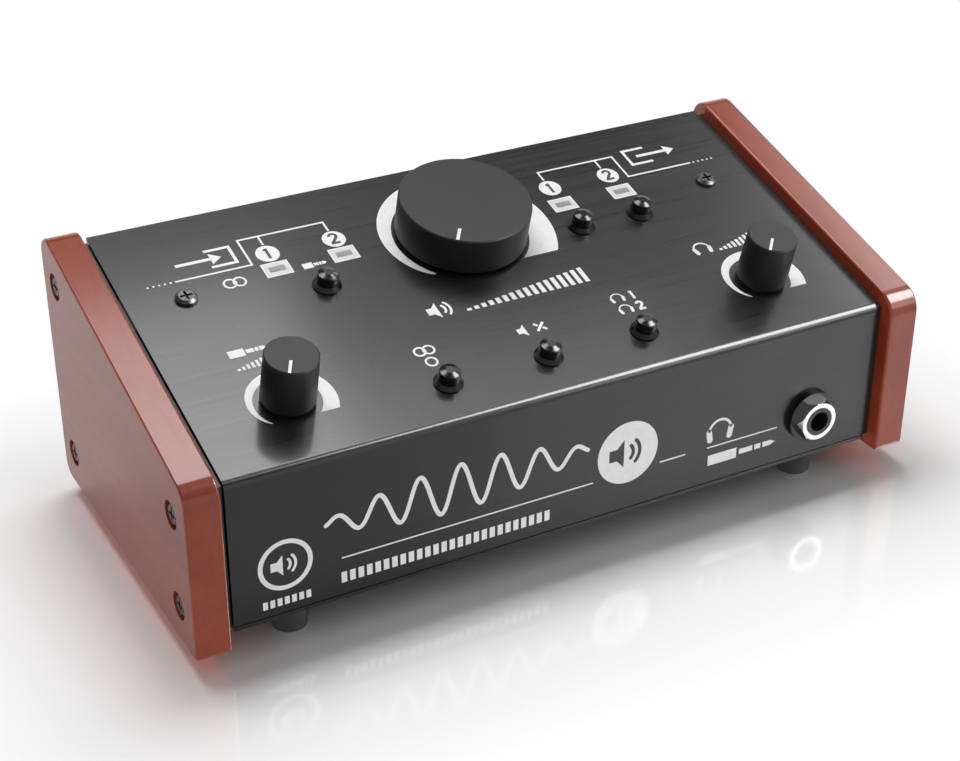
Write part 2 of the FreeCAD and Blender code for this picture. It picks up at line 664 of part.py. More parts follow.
def button_fixtures():
    """The switch housings on the board and the bezels pressed into the panel."""
    housings = []
    bezels = []
    collar_low = "-sheet_thickness - 0.2 - stop_collar_height"
    housing_top = "%s - button_travel - 0.3" % collar_low
    for _, x, y in BUTTONS:
        housing = middle_box(
            "switch_side", "switch_side", "%s + control_board_drop" % housing_top, x, y, "-control_board_drop",
        )
        well = middle_box(
            "plunger_side + 0.2", "plunger_side + 0.2", "control_board_drop", x, y, "-control_board_drop + 0.2",
        )
        housings.append(cut(housing, well))
        flange = rod("bezel_radius", "bezel_rim", x, y)
        lip = cone("bezel_radius", "button_bore + bezel_lip", "bezel_height - bezel_rim", x, y, "bezel_rim")
        sleeve = rod("bezel_sleeve_radius", "sheet_thickness", x, y, "-sheet_thickness")
        hole = rod("button_bore", "bezel_height + 3 * sheet_thickness", x, y, "-2 * sheet_thickness")
        bezels.append(cut(join(flange, lip, sleeve), hole))
    part("switch_housings", tilt(gather(*housings)))
    part("button_bezels", tilt(gather(*bezels)))


def lamps():
    for name, columns in LAMPS:
        pieces = []
        for x in columns:
            body = middle_box(
                "lamp_long", "lamp_short", "lamp_body_drop + lamp_proud", x, "lamp_up", "-lamp_body_drop",
            )
            legs = [
                middle_box(
                    "lamp_leg", "lamp_leg", "control_board_drop - lamp_body_drop", "%s + %s" % (x, side),
                    "lamp_up", "-control_board_drop",
                )
                for side in ("-lamp_leg_offset", "lamp_leg_offset")
            ]
            pieces.append(join(body, *legs))
        part(name + "_lamps", tilt(gather(*pieces)))


def boards():
    control = box(
        "2 * control_board_half", "control_board_high - control_board_low", "board_thickness",
        "-control_board_half", "control_board_low", "-control_board_drop - board_thickness",
    )
    part("control_board", tilt(gather(control)))
    main = box(
        "2 * main_board_half", "main_board_back - main_board_front", "board_thickness", "-main_board_half",
        "main_board_front", "board_low",
    )
    holes = []
    standoffs = []
    screws = []
    for sign in (-1, 1):
        for y in ("standoff_front", "standoff_back"):
            x = "%d * standoff_across" % sign
            holes.append(rod("small_screw_radius + screw_clearance", "2 * board_thickness", x, y, "board_low - 1"))
            post = hexagon("2 * standoff_radius", "board_low - floor_top", x, y, "floor_top")
            stub = rod("small_screw_radius + 0.5", "sheet_thickness", x, y, "floor_low")
            bore = rod("small_screw_radius", "board_low - floor_low", x, y, "floor_low + sheet_thickness / 2")
            standoffs.append(cut(join(post, stub), bore))
            screws.append(screw(
                "small_screw_radius", "board_thickness + 3", "small_head_radius", "small_head_height", x, y,
                "board_top", UP,
            ))
    part("main_board", cut(main, *holes))
    part("board_standoffs", gather(*standoffs))
    part("board_screws", gather(*screws))


def ribbon():
    """The flat cable between the two boards, with the header at each of its ends."""
    upper = tilt(gather(middle_box(
        "header_long", "header_wide", "header_tall", "0", "header_up",
        "-control_board_drop - board_thickness - header_tall",
    )))
    lower = middle_box("header_long", "header_wide", "header_tall", "0", "low_header_back", "board_top")
    part("ribbon_headers", gather(upper, lower))
    depth = "control_board_drop + board_thickness + header_tall"
    start_y = "panel_y + header_up * cos(slope) + (%s) * sin(slope)" % depth
    start_z = "panel_z + header_up * sin(slope) - (%s) * cos(slope) - ribbon_thickness * sin(slope) / 2" % depth
    end_z = "board_top + header_tall"
    half = "ribbon_thickness / 2"
    turn_z = "%s - ribbon_drop" % start_z
    end_y = "low_header_back"
    corners = [
        ("%s - %s" % (start_y, half), start_z), ("%s + %s" % (start_y, half), start_z),
        ("%s + %s" % (start_y, half), "%s + %s" % (turn_z, half)),
        ("%s + %s" % (end_y, half), "%s + %s" % (turn_z, half)),
        ("%s + %s" % (end_y, half), end_z), ("%s - %s" % (end_y, half), end_z),
        ("%s - %s" % (end_y, half), "%s - %s" % (turn_z, half)),
        ("%s - %s" % (start_y, half), "%s - %s" % (turn_z, half)),
    ]
    body = profile_body("Ribbon", corners, "ribbon_width")
    for number, (corner, radius) in enumerate((
        (2, "ribbon_bend"), (3, "ribbon_bend + ribbon_thickness"),
        (6, "ribbon_bend"), (7, "ribbon_bend + ribbon_thickness"),
    )):
        round_corner(body, "RibbonBend%d" % number, *corners[corner], radius)
    part("ribbon_cable", body)


def jack(x, wall, depth_sign, facing):
    """A quarter-inch jack socket: body behind the wall, threaded neck through it, open bore."""
    inner = "%s + %d * sheet_thickness" % (wall, depth_sign)
    body_y = inner if depth_sign > 0 else "%s - jack_body_depth" % inner
    body = box(
        "jack_body_width", "jack_body_depth", "2 * jack_body_half", "%s - jack_body_width / 2" % x, body_y,
        "jack_z - jack_body_half",
    )
    neck = rod("jack_thread_radius", "sheet_thickness + jack_thread_length", x, inner, "jack_z", facing)
    mouth_y = "%s - %d * jack_thread_length" % (wall, depth_sign)
    back = TO_BACK if depth_sign > 0 else TO_FRONT
    bore = rod("jack_bore_radius", "jack_bore_depth", x, mouth_y, "jack_z", back)
    return cut(join(body, neck), bore)


def collar_ring(outer, inner, height, x, y, facing, flats=None):
    """A washer, or with flats a hexagon nut, whose back face lies at y."""
    solid = hexagon(flats, height, x, y, "jack_z", facing) if flats else rod(outer, height, x, y, "jack_z", facing)
    return cut(solid, rod(inner, height, x, y, "jack_z", facing))


def front_jack():
    x = "front_jack_across"
    part("headphone_jack", jack(x, "wall_front", 1, TO_FRONT))
    part("headphone_jack_washer", collar_ring(
        "front_washer_radius", "jack_thread_radius", "front_washer_height", x, "wall_front", TO_FRONT,
    ))
    nut_y = "wall_front - front_washer_height"
    nut = collar_ring(
        None, "jack_thread_radius", "front_nut_height", x, nut_y, TO_FRONT, "front_nut_flats",
    )
    corner_taper = cone(
        "front_nut_flats / sqrt(3) + front_nut_taper", "front_nut_flats / 2", "front_nut_height",
        x, nut_y, "jack_z", TO_FRONT,
    )
    part("headphone_jack_nut", common(nut, corner_taper))


def rear_connectors():
    nuts = []
    washers = []
    for name, indices in REAR_JACKS:
        sockets = []
        for index in indices:
            x = rear_jack_x(index)
            sockets.append(jack(x, "wall_back", -1, TO_BACK))
            washers.append(collar_ring(
                "rear_washer_radius", "jack_thread_radius", "rear_washer_height", x, "wall_back", TO_BACK,
            ))
            nuts.append(collar_ring(
                None, "jack_thread_radius", "rear_nut_height", x, "wall_back + rear_washer_height", TO_BACK,
                "rear_nut_flats",
            ))
        part(name + "_jacks", gather(*sockets))
    part("rear_jack_nuts", gather(*nuts))
    part("rear_jack_washers", gather(*washers))

    x = "-aux_jack_across"
    inner = "wall_back - sheet_thickness"
    body = box(
        "aux_body_width", "aux_body_depth", "jack_body_half + aux_body_width / 2", "%s - aux_body_width / 2" % x,
        "%s - aux_body_depth" % inner, "board_top",
    )
    neck = rod("aux_thread_radius", "sheet_thickness + aux_nut_height + 0.4", x, inner, "jack_z", TO_BACK)
    bore = rod("aux_bore_radius", "aux_body_depth", x, "wall_back + aux_nut_height + 0.4", "jack_z", TO_FRONT)
    part("aux_jack", cut(join(body, neck), bore))
    part("aux_jack_nut", collar_ring("aux_nut_radius", "aux_thread_radius", "aux_nut_height", x, "wall_back", TO_BACK))

    x = "power_across"
    body = box(
        "power_body_width", "power_body_depth", "jack_body_half + power_body_width / 2",
        "%s - power_body_width / 2" % x, "%s - power_body_depth" % inner, "board_top",
    )
    collar = rod("power_bore_radius + 0.5", "sheet_thickness", x, inner, "jack_z", TO_BACK)
    bore = rod("power_bore_radius", "power_bore_depth", x, "wall_back", "jack_z", TO_FRONT)
    pin = rod("power_pin_radius", "power_bore_depth", x, "wall_back - power_bore_depth - 0.5", "jack_z", TO_BACK)
    part("power_inlet", join(cut(join(body, collar), bore), pin))


CHIPS = ((-60, -16), (-20, -16), (20, -16), (52, -16))
CAPACITORS = ((-76, -6), (-64, -2), (-40, -2), (40, -2), (64, -2), (74, 8))


def board_components():
    chips = [middle_box("chip_length", "chip_width", "chip_height", str(x), str(y), "board_top") for x, y in CHIPS]
    cans = [rod("can_radius", "can_height", str(x), str(y), "board_top") for x, y in CAPACITORS]
    part("amplifier_chips", gather(*chips))
    part("filter_capacitors", gather(*cans))


for side_name, side_sign, side_outward in SIDES:
    cheek(side_name, side_sign, side_outward)
    cheek_screws(side_name, side_sign, side_outward)
    end_frame(side_name, side_sign, side_outward)
top_cover()
base_tray()
rubber_feet()
panel_and_base_screws()
for pot_name, pot_x, pot_y, pot_side in POTS:
    potentiometer(pot_name, pot_x, pot_y, pot_side)
pot_hardware()
volume_knob()
small_knob("aux", "-small_knob_across")
small_knob("headphone", "small_knob_across")
for button_name, button_x, button_y in BUTTONS:
    push_button(button_name, button_x, button_y)
button_fixtures()
lamps()
boards()
ribbon()
front_jack()
rear_connectors()
board_components()

doc.recompute()
for item in doc.Objects:
    if "Invalid" in item.State or "Error" in item.State:
        raise RuntimeError("%s (%s) is not valid: %s" % (item.Name, item.Label, item.State))
os.makedirs("parts", exist_ok=True)
for item in PARTS:
    if item.Shape.isNull() or not item.Shape.isValid() or not item.Shape.Solids:
        raise RuntimeError("%s has no valid solid" % item.Label)
    item.Shape.exportStep("parts/%s.step" % item.Label)
print("pieces written:", len(PARTS))
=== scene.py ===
"""Looks of the studio monitor controller: printed marks, materials, floor, lights and camera."""

import json
import math

import bmesh
import bpy
from mathutils import Matrix, Vector


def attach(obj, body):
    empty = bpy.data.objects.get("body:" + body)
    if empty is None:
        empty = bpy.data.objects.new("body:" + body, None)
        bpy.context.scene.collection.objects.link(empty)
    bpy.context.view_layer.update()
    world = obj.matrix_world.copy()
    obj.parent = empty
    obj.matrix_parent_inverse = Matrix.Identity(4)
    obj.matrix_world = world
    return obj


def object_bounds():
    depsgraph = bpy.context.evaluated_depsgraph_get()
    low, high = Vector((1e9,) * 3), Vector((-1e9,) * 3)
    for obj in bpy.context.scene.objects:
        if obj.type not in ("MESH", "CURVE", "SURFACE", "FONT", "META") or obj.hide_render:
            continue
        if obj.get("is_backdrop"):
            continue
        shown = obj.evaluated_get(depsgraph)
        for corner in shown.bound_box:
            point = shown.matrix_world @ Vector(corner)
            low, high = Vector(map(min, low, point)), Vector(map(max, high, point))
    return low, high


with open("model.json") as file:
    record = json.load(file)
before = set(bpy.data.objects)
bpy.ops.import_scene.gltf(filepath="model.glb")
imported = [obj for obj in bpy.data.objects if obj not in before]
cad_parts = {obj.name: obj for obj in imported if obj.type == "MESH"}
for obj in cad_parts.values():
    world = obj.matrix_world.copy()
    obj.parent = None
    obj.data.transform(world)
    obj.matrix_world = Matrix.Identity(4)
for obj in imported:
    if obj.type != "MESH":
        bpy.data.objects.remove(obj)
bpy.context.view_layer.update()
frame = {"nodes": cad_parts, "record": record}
NODES = frame["nodes"]

MM = 0.001
FOOT_GAP = 6.0
CHEEK_DEPTH = 111.0
CHEEK_RISE = 30.5
CHEEK_FRONT_TOP = 53.0 + FOOT_GAP
PANEL_INSET = 3.4
WALL_INSET = 4.0
SLOPE = math.atan(CHEEK_RISE / CHEEK_DEPTH)
PANEL_Y = -CHEEK_DEPTH / 2 + PANEL_INSET * math.sin(SLOPE)
PANEL_Z = CHEEK_FRONT_TOP - PANEL_INSET * math.cos(SLOPE)
WALL_Y = -CHEEK_DEPTH / 2 + WALL_INSET


# Places, in millimetres, turned into points of the frame, in metres.

def on_panel(x, v, h=0.0):
    """x across the sloping panel, v up it from its front edge, h out of it."""
    y = PANEL_Y + v * math.cos(SLOPE) - h * math.sin(SLOPE)
    z = PANEL_Z + v * math.sin(SLOPE) + h * math.cos(SLOPE)
    return Vector((x, y, z)) * MM


def on_front(x, z, h=0.0):
    """x across the front wall, z above the cheeks' lower edge, h out of the wall."""
    return Vector((x, WALL_Y - h, z + FOOT_GAP)) * MM


# Flat outlines, in millimetres.

def circle(cx, cy, radius, count=64):
    return [
        (cx + radius * math.cos(2 * math.pi * i / count), cy + radius * math.sin(2 * math.pi * i / count))
        for i in range(count)
    ]


def arc(cx, cy, radius, start, end, count=24):
    """Points along an arc from start to end, in degrees from +x."""
    angles = [math.radians(start + (end - start) * i / count) for i in range(count + 1)]
    return [(cx + radius * math.cos(a), cy + radius * math.sin(a)) for a in angles]


class Print:
    """Marks printed on one surface: thin closed slabs gathered into one piece."""

    def __init__(self, name, place, low=-0.02, high=0.03):
        self.name, self.place, self.low, self.high = name, place, low, high
        self.mesh = bmesh.new()

    def _ring(self, points, height):
        return [self.mesh.verts.new(self.place(x, y, height)) for x, y in points]

    def fill(self, outline):
        top, low = self._ring(outline, self.high), self._ring(outline, self.low)
        self.mesh.faces.new(top)
        self.mesh.faces.new(low[::-1])
        for i in range(len(outline)):
            k = (i + 1) % len(outline)
            self.mesh.faces.new((top[i], low[i], low[k], top[k]))

    def strip(self, left, right, closed=False):
        """The band between two lines of points, which have as many points each."""
        a, b = self._ring(left, self.high), self._ring(right, self.high)
        c, d = self._ring(left, self.low), self._ring(right, self.low)
        count = len(left)
        for i in range(count if closed else count - 1):
            k = (i + 1) % count
            self.mesh.faces.new((a[i], a[k], b[k], b[i]))
            self.mesh.faces.new((c[i], d[i], d[k], c[k]))
            self.mesh.faces.new((a[i], c[i], c[k], a[k]))
            self.mesh.faces.new((b[i], b[k], d[k], d[i]))
        if not closed:
            self.mesh.faces.new((a[0], b[0], d[0], c[0]))
            self.mesh.faces.new((a[-1], c[-1], d[-1], b[-1]))

    def box(self, x0, y0, x1, y1):
        self.fill([(x0, y0), (x1, y0), (x1, y1), (x0, y1)])

    def disc(self, cx, cy, radius):
        self.fill(circle(cx, cy, radius))

    def ring(self, cx, cy, outer, inner):
        self.strip(circle(cx, cy, outer), circle(cx, cy, inner), closed=True)

    def frame(self, cx, cy, outer, inner):
        """A rectangular frame; outer and inner are (width, height)."""
        loops = [
            [(cx + s * w / 2, cy + t * h / 2) for s, t in ((-1, -1), (1, -1), (1, 1), (-1, 1))]
            for w, h in (outer, inner)
        ]
        self.strip(loops[0], loops[1], closed=True)

    def line(self, points, width, soft=False, closed=False):
        """A line of even width through the points, mitred at its corners; soft gives round ends."""
        count = len(points)
        left, right = [], []
        for i, point in enumerate(points):
            before = points[i - 1] if i or closed else None
            after = points[(i + 1) % count] if i < count - 1 or closed else None
            ways = []
            for a, b in ((before, point), (point, after)):
                if a is not None and b is not None:
                    ways.append((Vector(b) - Vector(a)).normalized())
            way = sum(ways, Vector((0, 0))).normalized()
            side = Vector((-way.y, way.x))
            reach = width / 2 / max(0.35, side.dot(Vector((-ways[0].y, ways[0].x))))
            left.append(tuple(Vector(point) + side * reach))
            right.append(tuple(Vector(point) - side * reach))
        if soft and not closed:
            for at, towards, first in ((points[0], points[1], True), (points[-1], points[-2], False)):
                out = (Vector(at) - Vector(towards)).normalized()
                side = Vector((-out.y, out.x)) * (-1 if first else 1)
                for turn in (25, 50, 70, 85):
                    a = math.radians(turn)
                    centre = Vector(at) + out * (width / 2 * math.sin(a))
                    l = tuple(centre + side * (width / 2 * math.cos(a)))
                    r = tuple(centre - side * (width / 2 * math.cos(a)))
                    if first:
                        left.insert(0, l)
                        right.insert(0, r)
                    else:
                        left.append(l)
                        right.append(r)
        self.strip(left, right, closed)

    def finish(self, body, material):
        bmesh.ops.recalc_face_normals(self.mesh, faces=self.mesh.faces[:])
        data = bpy.data.meshes.new(self.name)
        self.mesh.to_mesh(data)
        self.mesh.free()
        piece = bpy.data.objects.new(self.name, data)
        bpy.context.scene.collection.objects.link(piece)
        data.materials.append(material)
        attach(piece, body)
        return piece


# Materials. Texture coordinates are the CAD frame's own metres, so each scale is a real one.

class Finish:
    """A Principled material with helpers for its texture nodes."""

    def __init__(self, name, colour, roughness, **sockets):
        self.material = bpy.data.materials.new(name)
        self.material.use_nodes = True
        self.tree = self.material.node_tree
        self.shader = self.tree.nodes["Principled BSDF"]
        self.set("Base Color", (*colour, 1.0))
        self.set("Roughness", roughness)
        for socket, value in sockets.items():
            self.set(socket.replace("_", " "), value)
        self.where = self.tree.nodes.new("ShaderNodeTexCoord").outputs["Object"]
        self.surface = None

    def set(self, socket, value):
        self.shader.inputs[socket].default_value = value

    def link(self, output, socket):
        self.tree.links.new(output, self.shader.inputs[socket])

    def stretch(self, x, y, z, turn=(0.0, 0.0, 0.0)):
        node = self.tree.nodes.new("ShaderNodeMapping")
        node.inputs["Scale"].default_value = (x, y, z)
        node.inputs["Rotation"].default_value = turn
        self.tree.links.new(self.where, node.inputs["Vector"])
        return node.outputs["Vector"]

    def noise(self, per_metre, detail=3.0, rough=0.5, warp=0.0, vector=None):
        node = self.tree.nodes.new("ShaderNodeTexNoise")
        node.inputs["Scale"].default_value = per_metre
        node.inputs["Detail"].default_value = detail
        node.inputs["Roughness"].default_value = rough
        node.inputs["Distortion"].default_value = warp
        self.tree.links.new(vector or self.where, node.inputs["Vector"])
        return node.outputs["Fac"]

    def cells(self, per_metre, feature="F1"):
        node = self.tree.nodes.new("ShaderNodeTexVoronoi")
        node.feature = feature
        node.inputs["Scale"].default_value = per_metre
        self.tree.links.new(self.where, node.inputs["Vector"])
        return node.outputs["Distance"]

    def levels(self, value, low, high, to_low, to_high):
        """Carries low..high of a texture to to_low..to_high."""
        node = self.tree.nodes.new("ShaderNodeMapRange")
        for socket, number in (
            ("From Min", low), ("From Max", high), ("To Min", to_low), ("To Max", to_high),
        ):
            node.inputs[socket].default_value = number
        self.tree.links.new(value, node.inputs["Value"])
        return node.outputs["Result"]

    def colours(self, value, *stops):
        node = self.tree.nodes.new("ShaderNodeValToRGB")
        ramp = node.color_ramp
        while len(ramp.elements) < len(stops):
            ramp.elements.new(0.5)
        for element, (position, colour) in zip(ramp.elements, stops):
            element.position = position
            element.color = (*colour, 1.0)
        self.tree.links.new(value, node.inputs["Fac"])
        return node.outputs["Color"]

    def blend(self, factor, first, second, how="MIX"):
        node = self.tree.nodes.new("ShaderNodeMix")
        node.data_type, node.blend_type = "RGBA", how
        for socket, value in (("Factor", factor), ("A", first), ("B", second)):
            target = [s for s in node.inputs if s.name == socket and s.enabled][0]
            if isinstance(value, (float, int)):
                target.default_value = value
            elif isinstance(value, tuple):
                target.default_value = (*value, 1.0)
            else:
                self.tree.links.new(value, target)
        return [s for s in node.outputs if s.enabled][0]

    def relief(self, height, depth):
        """A bump node of that many metres on a 0..1 texture."""
        node = self.tree.nodes.new("ShaderNodeBump")
        node.inputs["Strength"].default_value = 1.0
        node.inputs["Distance"].default_value = depth
        self.tree.links.new(height, node.inputs["Height"])
        return node

    def bump(self, height, depth):
        """Relief of the surface, on top of any already there."""
        node = self.relief(height, depth)
        if self.surface is not None:
            self.tree.links.new(self.surface, node.inputs["Normal"])
        self.surface = node.outputs["Normal"]
        self.link(self.surface, "Normal")

    def coat_bump(self, height, depth):
        """Relief of the clear coat alone."""
        self.link(self.relief(height, depth).outputs["Normal"], "Coat Normal")


def shade(colour, factor):
    return tuple(c * factor for c in colour)


def mottle(finish, texture, colour, dark, light):
    """Base colour that wanders between two shades of one colour."""
    ramp = finish.colours(texture, (0.3, shade(colour, dark)), (0.7, shade(colour, light)))
    finish.link(ramp, "Base Color")


def satin_black():
    """Satin black coat on sheet steel: fine orange peel, faint streaks across its width."""
    black = (0.012, 0.012, 0.0117)
    f = Finish("satin_black_coat", black, 0.3, IOR=1.38, Coat_Weight=0.5, Coat_Roughness=0.13, Coat_IOR=1.5)
    cloud = f.noise(26, 4, 0.6)
    mottle(f, cloud, black, 0.82, 1.2)
    streaks = f.noise(1.0, 4, 0.6, 0.0, f.stretch(9, 700, 700))
    f.link(f.levels(streaks, 0.3, 0.7, 0.26, 0.35), "Roughness")
    f.bump(f.noise(1500, 3, 0.6), 0.000005)
    f.bump(streaks, 0.0000025)
    return f.material


def matt_black_steel():
    black = (0.013, 0.013, 0.0125)
    f = Finish("matt_black_steel", black, 0.5, IOR=1.5)
    mottle(f, f.noise(60, 5, 0.6), black, 0.75, 1.3)
    f.link(f.levels(f.noise(700, 4, 0.6), 0.3, 0.7, 0.42, 0.58), "Roughness")
    f.bump(f.noise(2600, 4, 0.6), 0.000008)
    return f.material


def lacquered_wood():
    """Red-brown stained wood under a gloss lacquer, its faint grain running from front to back."""
    f = Finish(
        "lacquered_wood", (0.32, 0.05, 0.018), 0.46,
        IOR=1.2, Coat_Weight=0.8, Coat_Roughness=0.14, Coat_IOR=1.5,
    )
    grain = f.noise(1.0, 5, 0.6, 0.3, f.stretch(620, 40, 300))
    board = f.noise(1.0, 3, 0.5, 0.8, f.stretch(60, 8, 40))
    fibre = f.noise(1.0, 3, 0.6, 0.0, f.stretch(2600, 120, 2600))
    body = f.colours(
        board,
        (0.28, (0.255, 0.035, 0.013)), (0.5, (0.30, 0.045, 0.016)), (0.74, (0.345, 0.057, 0.020)),
    )
    veins = f.colours(
        grain,
        (0.32, (0.72, 0.66, 0.64)), (0.5, (0.96, 0.95, 0.95)), (0.68, (1.06, 1.05, 1.05)),
    )
    f.link(f.blend(0.45, body, f.blend(1.0, body, veins, "MULTIPLY")), "Base Color")
    f.link(f.levels(fibre, 0.3, 0.7, 0.40, 0.52), "Roughness")
    f.bump(fibre, 0.000008)
    f.coat_bump(f.noise(160, 2, 0.5), 0.00001)
    return f.material


def knob_plastic():
    """Moulded black plastic with a fine spark-eroded texture."""
    black = (0.008, 0.008, 0.0076)
    f = Finish("textured_knob_plastic", black, 0.44, IOR=1.4)
    mottle(f, f.noise(140, 4, 0.6), black, 0.85, 1.15)
    f.link(f.levels(f.cells(3600), 0.0, 0.8, 0.38, 0.5), "Roughness")
    f.bump(f.cells(3300), 0.000010)
    f.bump(f.noise(6500, 2, 0.5), 0.000004)
    return f.material


def gloss_plastic(name, colour, roughness, peel=0.000003, index=1.5):
    f = Finish(name, colour, roughness, IOR=index)
    mottle(f, f.noise(300, 3, 0.5), colour, 0.85, 1.15)
    f.link(f.levels(f.noise(1400, 4, 0.6), 0.3, 0.7, roughness * 0.8, roughness * 1.25), "Roughness")
    f.bump(f.noise(500, 2, 0.5), peel)
    return f.material


def matt_plastic(name, colour, roughness, per_metre=2200, depth=0.000008):
    f = Finish(name, colour, roughness, IOR=1.48)
    mottle(f, f.noise(220, 4, 0.6), colour, 0.82, 1.18)
    f.link(f.levels(f.noise(900, 4, 0.6), 0.3, 0.7, roughness * 0.88, roughness * 1.12), "Roughness")
    f.bump(f.noise(per_metre, 4, 0.6), depth)
    return f.material


def metal(name, colour, roughness, brush=None, depth=0.000002, scale=1500):
    """Bare or plated metal; brush stretches its marks along x, y or z."""
    f = Finish(name, colour, roughness, Metallic=1.0)
    vector = f.stretch(*brush) if brush else None
    marks = f.noise(1.0 if brush else scale, 4, 0.6, 0.0, vector)
    mottle(f, f.noise(350, 4, 0.6), colour, 0.86, 1.06)
    f.link(f.levels(marks, 0.3, 0.7, roughness * 0.7, roughness * 1.35), "Roughness")
    f.bump(marks, depth)
    return f.material


def black_oxide():
    """Blackened screw steel: dark, with lighter worn patches scattered at random by noise."""
    f = Finish("black_oxide_steel", (0.07, 0.07, 0.068), 0.28, Metallic=0.85, IOR=1.6)
    wear = f.colours(f.noise(900, 5, 0.65), (0.3, (0.035, 0.035, 0.034)), (0.72, (0.14, 0.14, 0.137)))
    f.link(wear, "Base Color")
    f.link(f.levels(f.noise(1800, 4, 0.6), 0.3, 0.7, 0.24, 0.4), "Roughness")
    f.bump(f.noise(2400, 4, 0.6), 0.000006)
    return f.material


def white_ink():
    """Screen-printed white: slightly uneven cover with a fine mesh texture."""
    f = Finish("white_ink", (0.86, 0.865, 0.86), 0.42, IOR=1.5)
    cover = f.colours(f.noise(420, 4, 0.6), (0.25, (0.80, 0.805, 0.80)), (0.6, (0.88, 0.885, 0.88)))
    f.link(cover, "Base Color")
    f.link(f.levels(f.noise(2600, 3, 0.6), 0.3, 0.7, 0.36, 0.5), "Roughness")
    f.bump(f.cells(5200), 0.000004)
    return f.material


def pale_ink():
    """The thinner, greyer window round each lamp."""
    f = Finish("pale_window_ink", (0.70, 0.705, 0.68), 0.38, IOR=1.5)
    cover = f.colours(f.noise(700, 4, 0.6), (0.3, (0.64, 0.645, 0.625)), (0.7, (0.76, 0.765, 0.74)))
    f.link(cover, "Base Color")
    f.link(f.levels(f.noise(2600, 3, 0.6), 0.3, 0.7, 0.32, 0.45), "Roughness")
    f.bump(f.cells(5200), 0.000003)
    return f.material


def dark_ink():
    f = Finish("dark_ink", (0.028, 0.028, 0.03), 0.4, IOR=1.5)
    cover = f.colours(f.noise(700, 4, 0.6), (0.3, (0.022, 0.022, 0.024)), (0.7, (0.036, 0.036, 0.038)))
    f.link(cover, "Base Color")
    f.link(f.levels(f.noise(2600, 3, 0.6), 0.3, 0.7, 0.34, 0.48), "Roughness")
    f.bump(f.noise(5200, 2, 0.5), 0.000003)
    return f.material


def circuit_board():
    f = Finish("solder_mask", (0.02, 0.12, 0.05), 0.35, IOR=1.5)
    tracks = f.cells(420, feature="SMOOTH_F1")
    f.link(f.colours(tracks, (0.25, (0.03, 0.17, 0.07)), (0.55, (0.014, 0.085, 0.035))), "Base Color")
    f.link(f.levels(f.noise(900, 3, 0.6), 0.3, 0.7, 0.28, 0.42), "Roughness")
    f.bump(tracks, 0.00002)
    return f.material


WIRES_PER_METRE = 787
WAVE_STRETCH = 20


def ribbon_pvc():
    f = Finish("ribbon_pvc", (0.42, 0.42, 0.41), 0.45, IOR=1.5)
    wires = f.tree.nodes.new("ShaderNodeTexWave")
    wires.bands_direction = "X"
    wires.inputs["Scale"].default_value = WIRES_PER_METRE / WAVE_STRETCH
    wires.inputs["Distortion"].default_value = 0.0
    f.tree.links.new(f.stretch(WAVE_STRETCH, WAVE_STRETCH, WAVE_STRETCH), wires.inputs["Vector"])
    stripes = f.colours(wires.outputs["Fac"], (0.2, (0.3, 0.3, 0.29)), (0.7, (0.46, 0.46, 0.45)))
    f.link(stripes, "Base Color")
    f.link(f.levels(f.noise(900, 3, 0.6), 0.3, 0.7, 0.4, 0.52), "Roughness")
    f.bump(wires.outputs["Fac"], 0.0002)
    return f.material


FINISHES = {
    "black_sheet": satin_black(),
    "frame_steel": matt_black_steel(),
    "lacquered_wood": lacquered_wood(),
    "black_screw": black_oxide(),
    "zinc_steel": metal("zinc_steel", (0.55, 0.55, 0.56), 0.34),
    "chrome": metal("chrome_plate", (0.78, 0.78, 0.79), 0.09, depth=0.0000006, scale=900),
    "rubber": matt_plastic("foot_rubber", (0.022, 0.022, 0.023), 0.62, 1800, 0.00002),
    "washer_plastic": gloss_plastic("gloss_black_ring", (0.010, 0.010, 0.011), 0.16),
    "knob_plastic": knob_plastic(),
    "shaft_aluminium": metal("shaft_aluminium", (0.72, 0.73, 0.74), 0.28, (300, 300, 5000)),
    "pot_body": metal("brushed_pot_steel", (0.5, 0.5, 0.51), 0.36, (4000, 200, 200)),
    "button_plastic": gloss_plastic("gloss_black_button", (0.007, 0.007, 0.0075), 0.2),
    "bezel_plastic": gloss_plastic("gloss_black_bezel", (0.006, 0.006, 0.0065), 0.22, index=1.33),
    "spring_steel": metal("spring_steel", (0.6, 0.6, 0.6), 0.25),
    "lamp_resin": gloss_plastic("lamp_resin", (0.30, 0.305, 0.285), 0.3),
    "circuit_board": circuit_board(),
    "ribbon_pvc": ribbon_pvc(),
    "header_plastic": matt_plastic("header_plastic", (0.022, 0.022, 0.024), 0.42),
    "chip_resin": matt_plastic("chip_resin", (0.018, 0.018, 0.019), 0.5),
    "capacitor_sleeve": gloss_plastic("capacitor_sleeve", (0.012, 0.02, 0.06), 0.25),
    "socket_plastic": matt_plastic("socket_plastic", (0.015, 0.015, 0.016), 0.35),
}
WHITE, PALE, DARK = white_ink(), pale_ink(), dark_ink()

for part in frame["record"]["subparts"]:
    node = NODES[part["node"]]
    node.data.materials.clear()
    node.data.materials.append(FINISHES[part["material_slot"]])


# Printed marks on the sloping panel.

CHANNELS = ((-59.7, 86.3, 1), (-38.1, 86.3, 2), (38.1, 87.6, 1), (59.7, 87.6, 2))
LAMP_UP = 79.0


